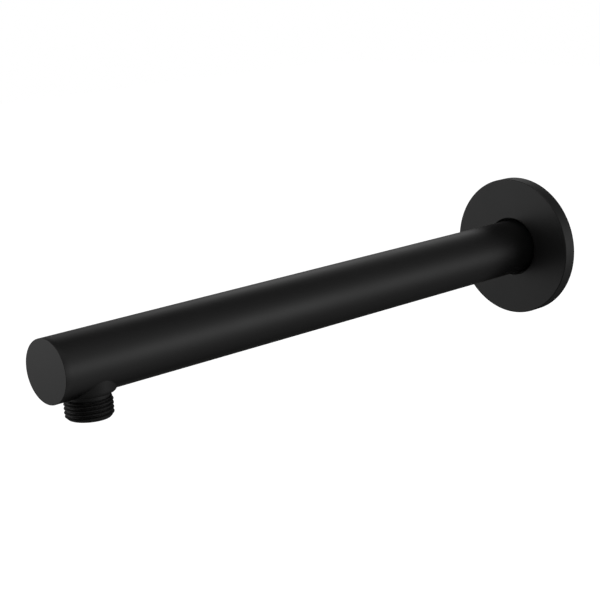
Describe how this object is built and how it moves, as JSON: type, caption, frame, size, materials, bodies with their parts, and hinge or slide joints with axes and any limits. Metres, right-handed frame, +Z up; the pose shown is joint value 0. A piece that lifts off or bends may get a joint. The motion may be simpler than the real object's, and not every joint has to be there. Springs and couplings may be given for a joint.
{
  "type": "shower arm",
  "caption": "Straight round wall-mounted shower arm in satin black, closed at its front end, with a short threaded outlet pointing down and a round wall flange that slides on the tube.",
  "frame": {"origin": "on the arm's axis in the wall plane, where the inlet thread leaves the back of the arm", "axes": "+Z up, +Y into the wall along the inlet thread, so the arm reaches out along -Y and the outlet points along -Z"},
  "size_m": [0.072, 0.324, 0.072],
  "materials": {
    "black_coated_brass": "satin",
    "ring_rubber": "matte"
  },
  "bodies": {
    "arm": {"arm_tube": "black_coated_brass", "end_cap": "black_coated_brass", "inlet_nipple": "black_coated_brass", "outlet_spigot": "black_coated_brass"},
    "ring": {"flange_o_ring": "ring_rubber"},
    "flange": {"wall_flange": "black_coated_brass"}
  },
  "joints": [
    {"name": "flange_slide", "type": "slide", "parent": "arm", "child": "ring", "axis": [0, -1, 0], "range_m": [0, 0.268]},
    {"name": "flange_turn", "type": "hinge", "parent": "ring", "child": "flange", "pos_m": [0, 0, 0], "axis": [0, -1, 0], "continuous": true}
  ]
}
